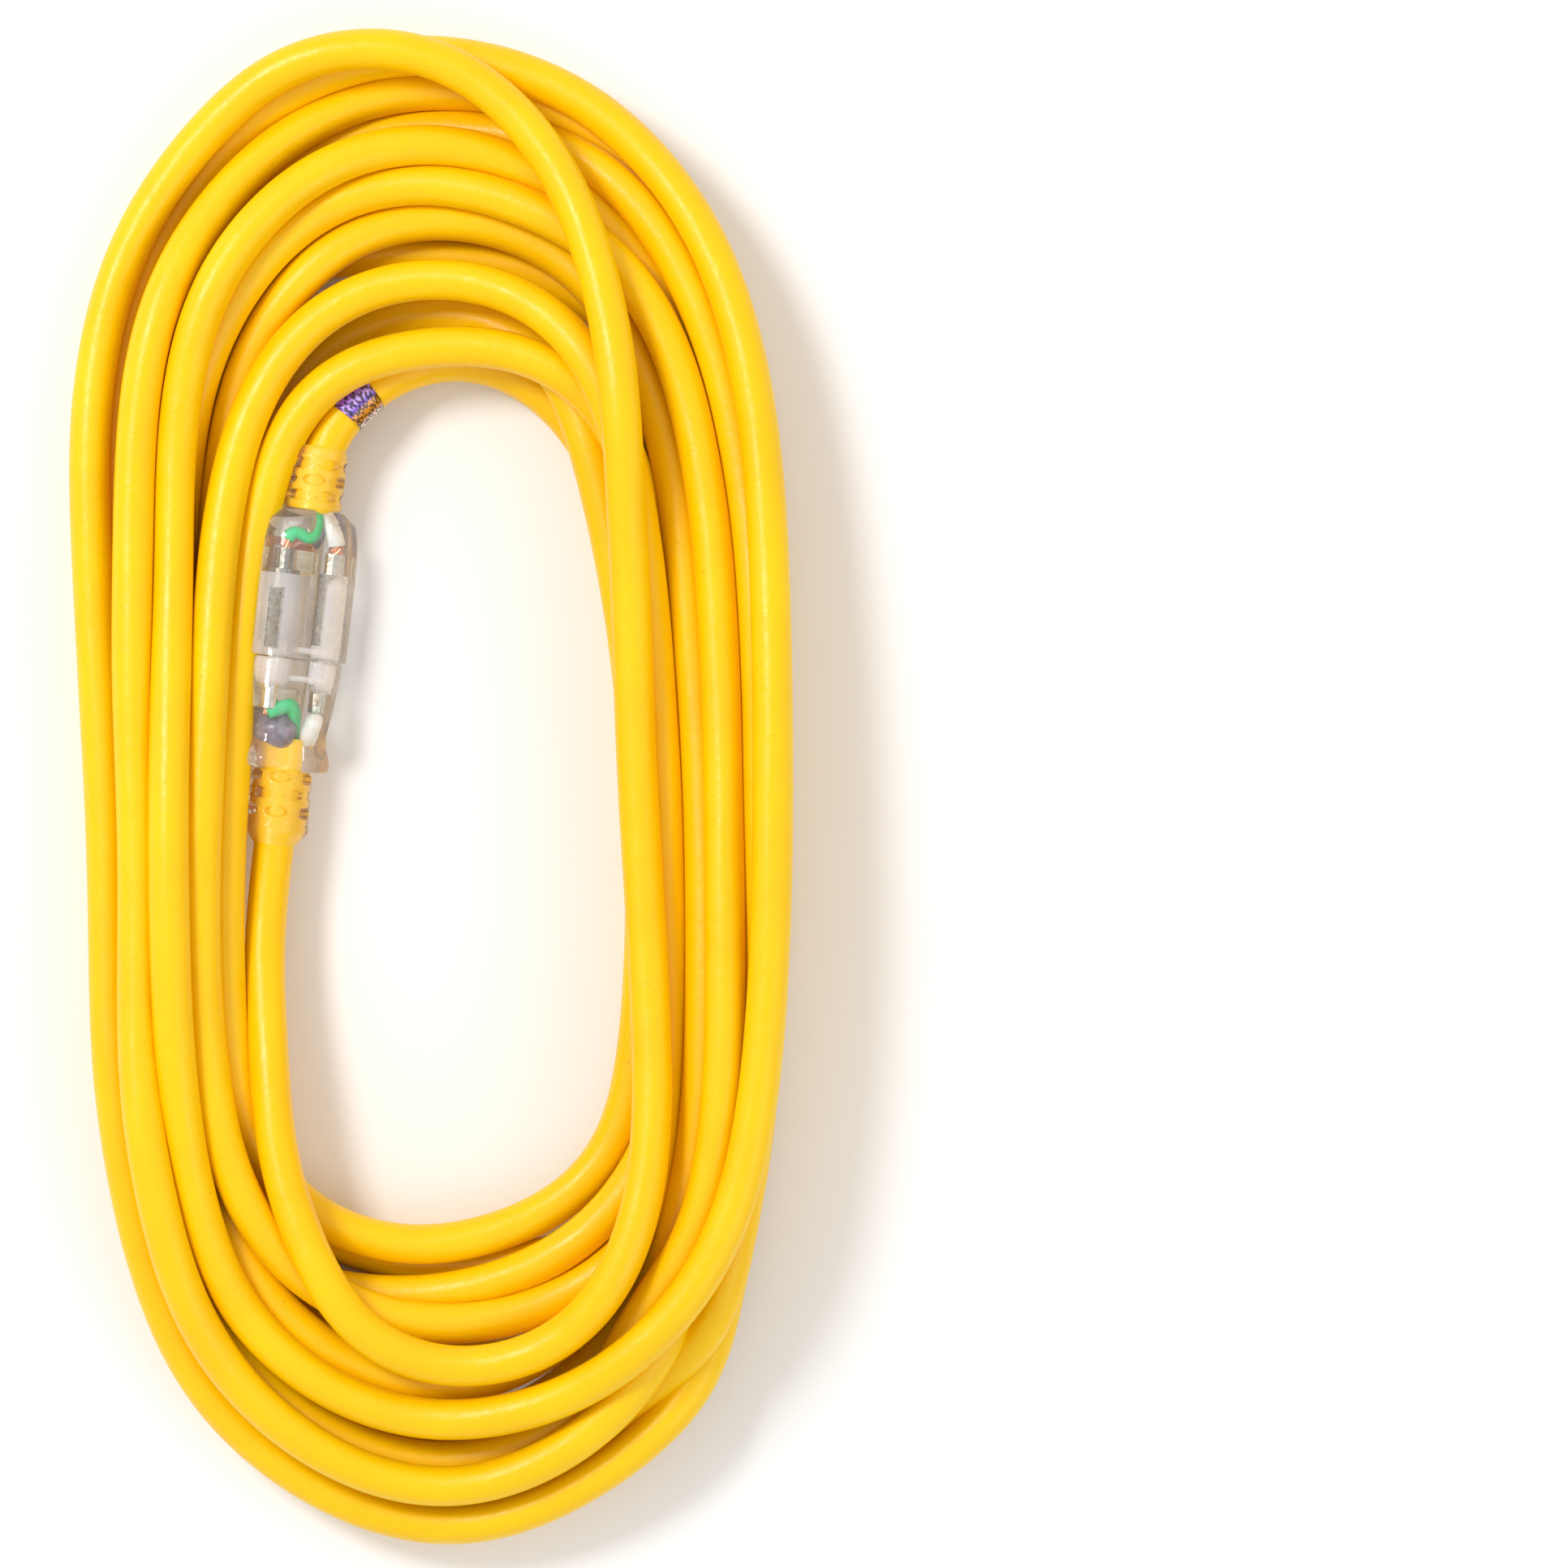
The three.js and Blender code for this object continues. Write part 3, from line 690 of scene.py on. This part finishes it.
def make_label(line, along):
    """A band round the cord, just out of the connector's boot."""
    half, rings, sides = 4.6, 9, 32
    places = np.linspace(along - half, along + half, rings)
    at = distance_along(line)
    centre = np.column_stack([np.interp(places, at, line[:, k]) for k in range(3)])
    outer, _ = tube(centre, CORD_D / 2 + 0.42, sides)
    inner, _ = tube(centre, CORD_D / 2 + 0.12, sides)
    inner_back = np.array(inner).reshape(rings, sides, 3)[::-1].reshape(-1, 3)
    verts = np.vstack([outer, inner_back]) * MM
    faces = grid_faces(2 * rings, sides, closed_rows=True)
    band = mesh_object("label_band", verts, faces, label_material())
    point_values(band, "turn", np.tile(np.arange(sides) / sides, 2 * rings))
    reach = np.r_[np.linspace(0, 1, rings), np.linspace(1, 0, rings)]
    point_values(band, "reach", np.repeat(reach, sides))
    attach(band, CONNECTOR)
    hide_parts("cord_label")
    return band


# ---------------------------------------------------------------- plug and connector
# half width and foot of the blade part, then the round lobe over the ground pin
PLUG_FACE = {"half": 9.6, "foot": -6.2, "shoulder": 5.2, "lobe": 6.4, "lobe_at": 9.9}
CONN_FACE = {"half": 10.4, "foot": -7.0, "shoulder": 5.6, "lobe": 6.8, "lobe_at": 10.7}
PIN_RISE = 11.9
BLADE_OUT = 6.35
# each conductor's place across the face
GROUND, NEUTRAL, LINE = (0.0, PIN_RISE), (BLADE_OUT, 0.0), (-BLADE_OUT, 0.0)
# points round a moulding, how square its corners are, and how softly its lobe runs into its box
ROUND = 72
SQUARENESS = 7
LOBE_BLEND = 0.45
# how far a wire's insulation ends before its crimp, and how far the copper runs past either
PLUG_BARE = 1.3
CONN_BARE = 2.1
UNDER_INSULATION = 0.4
INTO_CRIMP = 1.2
# the fine copper wires: their radius, their distance from the middle one and their twist
STRAND_RADIUS = 0.36
STRAND_OUT = 0.62
STRAND_TWIST = 1.6


def lying(right, along, up):
    """A place given as the pair lies, seen from above, in the pair's own rolled frame."""
    c, s = math.cos(PAIR_ROLL), math.sin(PAIR_ROLL)
    return (right * c - up * s, along, right * s + up * c)


def face_outline(face):
    """The moulding's cross-section: a soft box with a round lobe over the ground pin."""
    mid = (face["foot"] + face["shoulder"]) / 2
    tall = (face["shoulder"] - face["foot"]) / 2
    rise = face["lobe_at"] - mid
    points = []
    for k in range(ROUND):
        angle = 2 * math.pi * k / ROUND
        dx, dz = math.sin(angle), math.cos(angle)
        across, upward = abs(dx / face["half"]), abs(dz / tall)
        box = (across**SQUARENESS + upward**SQUARENESS) ** (-1 / SQUARENESS)
        side = face["lobe"] / max(abs(dx), 1e-6)
        reach = rise * dz + math.sqrt(max(face["lobe"] ** 2 - (rise * dx) ** 2, 0))
        lobe = (side if side * dz < rise else reach) if dz > -0.2 else face["lobe"]
        fillet = 0.6 * LOBE_BLEND * math.exp(-abs(box - lobe) / LOBE_BLEND)
        r = max(box, lobe) + fillet
        points.append((dx * r, mid + dz * r))
    return points


def moulding(face, stations):
    """A solid along y: the face's outline, scaled about the cord's axis by (along, scale) stations."""
    outline = face_outline(face)
    place, scale_there = np.array(stations, float).T
    along = np.unique(np.r_[place, np.linspace(place[0], place[-1], 40)])
    scale = np.interp(along, place, scale_there)
    middle = CORD_RISE
    verts = [(x * k, y, middle + (z - middle) * k) for y, k in zip(along, scale) for x, z in outline]
    return verts, grid_faces(len(along), ROUND)


def solid_of_turn(profile, at=(0.0, 0.0), count=24):
    """A turned solid along y: profile rows are (along, radius)."""
    angles = np.arange(count) / count * 2 * math.pi
    rows = sorted(profile)
    verts = [(at[0] + r * math.sin(a), y, at[1] + r * math.cos(a)) for y, r in rows for a in angles]
    return verts, grid_faces(len(profile), count)


def box_mesh(low, high):
    """A plain block between two corners."""
    xs, ys, zs = zip(low, high)
    verts = [(x, y, z) for x in xs for y in ys for z in zs]
    faces = [(0, 1, 3, 2), (4, 6, 7, 5), (0, 4, 5, 1), (2, 3, 7, 6), (0, 2, 6, 4), (1, 5, 7, 3)]
    return verts, faces


def boot_mesh(profile, rows, half_turn):
    """A strain relief: a sleeve round the cord with staggered rows of oval windows pressed into it, and
    how much painted shade each point of the windows' sides gets.
    """
    place, radius_there = np.array(profile, float).T
    along = np.linspace(place[0], place[-1], 96)
    radius = np.interp(along, place, radius_there)
    count, per_row, window, pressed = 144, 6, (1.3, 2.8), 2.2
    angles = np.arange(count) / count * 2 * math.pi
    verts, wall_shades = [], []
    for y, r in zip(along, radius):
        for a in angles:
            deep = 0.0
            for k, row in enumerate(rows):
                turn = (a / (2 * math.pi) * per_row + 0.5 * ((k + half_turn) % 2)) % 1 - 0.5
                off = math.hypot((y - row) / window[0], turn / per_row * 2 * math.pi * r / window[1])
                deep = max(deep, min(1.0, max(0.0, (1.08 - off) / 0.12)))
            left = r - pressed * deep * deep * (3 - 2 * deep)
            verts.append((left * math.sin(a), y, CORD_RISE + left * math.cos(a)))
            # the painted shade is strongest halfway down a window's side
            wall_shades.append(4 * deep * (1 - deep))
    return verts, grid_faces(len(along), count), wall_shades


def strand_bundle(start, end):
    """Seven fine copper wires laid together with a slight twist."""
    parts = []
    a, b = np.array(start), np.array(end)
    for k in range(7):
        off = 0.0 if k == 0 else STRAND_OUT
        line = []
        for t in np.linspace(0, 1, 7):
            turn = k * math.pi / 3 + t * STRAND_TWIST
            line.append(a + (b - a) * t + np.array([off * math.cos(turn), 0, off * math.sin(turn)]))
        parts.append(tube(line, STRAND_RADIUS, 8))
    return merge(*parts)


def make_wire(name, points, radii, material, body, slot):
    """An insulated wire through the given places, its radius set at each of them."""
    per_span = 8
    line = spline(points, per_span)
    r = np.interp(np.arange(len(line)), np.arange(len(radii)) * per_span, radii)
    verts, faces = tube(line, 1.0, 20, lambda i, angles: np.full(20, r[i]))
    piece(name, verts, faces, material, body, slot, [name])


def make_strands(end, body, bare, crimp):
    """Bare copper from inside each wire's insulation to inside its crimp."""
    for conductor, (x, z) in (("ground", GROUND), ("neutral", NEUTRAL), ("line", LINE)):
        verts, faces = strand_bundle((x, bare, z), (x, crimp, z))
        name = f"{end}_strands_{conductor}"
        piece(name, verts, faces, COPPER, body, "copper_strand", [name])


def make_plug_wires():
    """The three wires between the jacket's end and the plug's crimps."""
    start = -20.6
    bare = PLUG_CRIMP_END - PLUG_BARE
    ground_end = (GROUND[0], bare, GROUND[1])
    make_wire(
        "plug_wire_ground",
        [
            lying(-0.4, start, 1.2), lying(-0.2, -17.2, 3.0), lying(-0.1, -14.0, 6.6),
            lying(-1.4, -11.8, 9.0), ground_end,
        ],
        [1.5, 1.7, 2.0, 1.8, 1.5],
        WIRE["ground"], PLUG, "wire_green",
    )
    neutral_end = (NEUTRAL[0], bare, NEUTRAL[1])
    make_wire(
        "plug_wire_neutral",
        [lying(3.0, start, 1.6), lying(4.4, -18.4, 3.4), lying(5.5, -15.6, 4.4), neutral_end],
        [1.7, 2.1, 2.2, 1.8],
        WIRE["neutral"], PLUG, "wire_white",
    )
    line_end = (LINE[0], bare, LINE[1])
    make_wire(
        "plug_wire_line",
        [
            lying(-2.4, -23.4, 5.6), lying(-2.9, -21.0, 6.0), lying(-3.5, -18.0, 6.0),
            lying(-4.1, -15.2, 4.6), lying(-5.2, -13.9, -0.5), line_end,
        ],
        [0.8, 3.5, 4.4, 3.4, 1.8, 1.5],
        WIRE["line"], PLUG, "wire_black",
    )
    make_strands("plug", PLUG, bare - UNDER_INSULATION, PLUG_CRIMP_END + INTO_CRIMP)


def make_connector_wires():
    """The three wires between the jacket's end and the connector's crimps."""
    start = 37.6
    bare = CONN_CRIMP_END + CONN_BARE
    ground_end = (GROUND[0], bare, GROUND[1])
    make_wire(
        "connector_wire_ground",
        [
            lying(0.4, start, 4.0), lying(0.6, 34.6, 6.0), lying(0.2, 31.6, 8.0),
            lying(-1.6, 30.4, 9.2), lying(-3.6, 31.4, 9.8), lying(-4.9, 30.8, 10.2), ground_end,
        ],
        [1.35] * 7,
        WIRE["ground"], CONNECTOR, "wire_green",
    )
    neutral_end = (NEUTRAL[0], bare, NEUTRAL[1])
    make_wire(
        "connector_wire_neutral",
        [lying(1.5, start, 2.2), lying(2.2, 35.4, 2.8), lying(4.2, 32.6, 3.4), neutral_end],
        [1.6] * 4,
        WIRE["neutral"], CONNECTOR, "wire_white",
    )
    line_end = (LINE[0], bare, LINE[1])
    make_wire(
        "connector_wire_line",
        [lying(1.6, start, -1.4), lying(2.4, 34.6, -2.6), lying(-0.6, 31.6, -3.6), line_end],
        [1.6] * 4,
        WIRE["line"], CONNECTOR, "wire_black",
    )
    make_strands("connector", CONNECTOR, bare + UNDER_INSULATION, CONN_CRIMP_END - INTO_CRIMP)


def domed(front, rear, radius):
    """A barrel's profile with a rounded rear end."""
    way = 1 if rear > front else -1
    dome = []
    for t in np.linspace(0, 1.35, 6):
        dome.append((rear - way * radius * (1 - math.sin(t)), radius * math.cos(t)))
    return [(front, radius * 0.96), (front + way * 0.4, radius), *dome]


def make_carriers():
    """The clear inner blocks: barrels for each contact on a plate that joins them."""
    front = -0.45
    parts = [solid_of_turn(domed(front, PLUG_CORE_REAR, 3.7), at) for at in (NEUTRAL, LINE)]
    parts.append(solid_of_turn(domed(front, PLUG_CORE_REAR, 4.1), GROUND))
    parts.append(box_mesh((-7.6, -5.6, -3.0), (7.6, -4.2, 9.0)))
    name = "plug_blade_carrier"
    piece(name, *merge(*parts), INSERT, PLUG, "clear_insert", [name])

    front = 0.9
    barrel = domed(front, CONN_CORE_REAR, 4.0)
    parts = [solid_of_turn(barrel, (x * 0.98, z)) for x, z in (NEUTRAL, LINE)]
    gx, gz = GROUND
    parts.append(box_mesh((gx - 4.2, front, gz - 4.2), (gx + 4.2, 21.0, gz + 3.4)))
    parts.append(box_mesh((-8.2, 1.6, -3.4), (8.2, 3.0, 9.2)))
    name = "connector_contact_carrier"
    piece(name, *merge(*parts), INSERT, CONNECTOR, "clear_insert", [name])


def make_contact_spring():
    """The flat spring beside the ground pin, which shows through the connector's side."""
    strip = box_mesh((-0.4, 2.4, 15.45), (2.7, 17.2, 15.95))
    # the spring's dark colour is a painted reflection
    piece("connector_contact_spring", *strip, NICKEL_PAINTED_DARK, CONNECTOR, "contact_brass", smooth=False)
    edge_a = box_mesh((-0.75, 2.0, 14.8), (-0.5, 17.6, 16.1))
    edge_b = box_mesh((2.8, 2.0, 14.8), (3.05, 17.6, 16.1))
    rails = merge(edge_a, edge_b)
    piece("connector_spring_rails", *rails, NICKEL, CONNECTOR, "contact_brass", smooth=False)


def make_bodies():
    """The clear mouldings: the waisted plug, and the connector's block with its pull ear."""
    plug_stations = [
        (PLUG_REAR, 0.90), (-27.3, 0.955), (-25.8, 0.98), (-24.0, 0.93), (-21.5, 0.865),
        (-19.0, 0.845), (-16.0, 0.87), (-12.0, 0.925), (-6.0, 0.985), (-1.0, 1.0), (-0.5, 0.99),
        (-0.15, 0.96),
    ]
    piece("plug_body", *moulding(PLUG_FACE, plug_stations), CLEAR, PLUG, "clear_pvc", ["plug_body"])
    connector_stations = [
        (0.15, 0.965), (0.5, 0.99), (1.1, 1.0), (21.0, 1.0), (28.0, 0.985), (31.0, 0.965),
        (34.2, 0.91), (35.0, 0.88), (37.2, 0.68), (CONN_REAR, 0.62),
    ]
    body = merge(moulding(CONN_FACE, connector_stations), boxy_ear())
    piece("connector_body", *body, CLEAR, CONNECTOR, "clear_pvc", ["connector_body"])


def boxy_ear():
    """The pull ear under the connector's mouth: its outline, swept across with rounded edges."""
    outline = [
        (0.2, -6.2), (0.2, -11.6), (0.5, -12.5), (1.4, -12.8),
        (3.2, -12.7), (5.2, -11.9), (7.0, -9.8), (11.0, -6.2),
    ]
    middle = np.array([4.5, -8.5])
    rows = [(-4.6, 0.9), (-4.1, 0.98), (-3.2, 1.0), (3.2, 1.0), (4.1, 0.98), (4.6, 0.9)]
    verts = []
    for x, k in rows:
        for y, z in outline:
            verts.append((x, *(middle + (np.array([y, z]) - middle) * k)))
    return verts, grid_faces(len(rows), len(outline))


def make_boot(name, profile, rows, half_turn, body):
    """One end's strain relief."""
    verts, faces, wall_shades = boot_mesh(profile, rows, half_turn)
    boot = piece(name, verts, faces, SLEEVE, body, "clear_pvc", [name])
    # stores the painted shade on the windows' sides
    point_values(boot, "wall_shade", wall_shades)


def make_boots():
    """Both strain reliefs, from their (along, radius) profiles and the places of the windows' rows."""
    plug_profile = [
        (PLUG_BOOT_END, 5.35), (-46.6, 5.6), (-43.8, 7.9), (-43.0, 8.2), (-42.0, 8.15),
        (-41.6, 7.75), (-41.2, 7.95), (-36.0, 7.75), (-30.0, 7.6), (-28.8, 7.3), (-28.25, 6.9),
    ]
    make_boot("plug_strain_relief", plug_profile, (-38.6, -34.2, -29.9), 0, PLUG)
    connector_profile = [
        (38.15, 6.9), (38.8, 7.3), (46.0, 7.4), (51.4, 7.5), (51.8, 7.15), (52.2, 7.4),
        (53.4, 6.9), (CONN_BOOT_END, 5.6),
    ]
    make_boot("connector_strain_relief", connector_profile, (41.4, 45.4, 49.4), 1, CONNECTOR)


BROKEN_EDGE = 0.12


def finish_contacts():
    """The blades, pin and contacts keep their CAD shape, with broken edges and worn metal."""
    metals = {
        "plug_ground_pin": NICKEL,
        "plug_neutral_blade": NICKEL,
        "plug_line_blade": BRASS,
        # the ground contact gets the darkened nickel, a painted reflection
        "connector_ground_contact": NICKEL_PAINTED_DARK,
        "connector_neutral_contact": NICKEL,
        "connector_line_contact": BRASS,
    }
    for name, metal in metals.items():
        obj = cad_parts[name]
        obj.data.materials.clear()
        obj.data.materials.append(metal)
        rounding = obj.modifiers.new("broken edges", "BEVEL")
        rounding.width = BROKEN_EDGE * MM
        rounding.segments = 2
        rounding.limit_method = "ANGLE"


make_stage()
make_camera()
centre_line = cord_line()
cord, cord_length = make_cord(centre_line)
label = make_label(centre_line, LABEL_AT)

make_plug_wires()
make_connector_wires()
make_carriers()
make_contact_spring()
make_bodies()
make_boots()
finish_contacts()
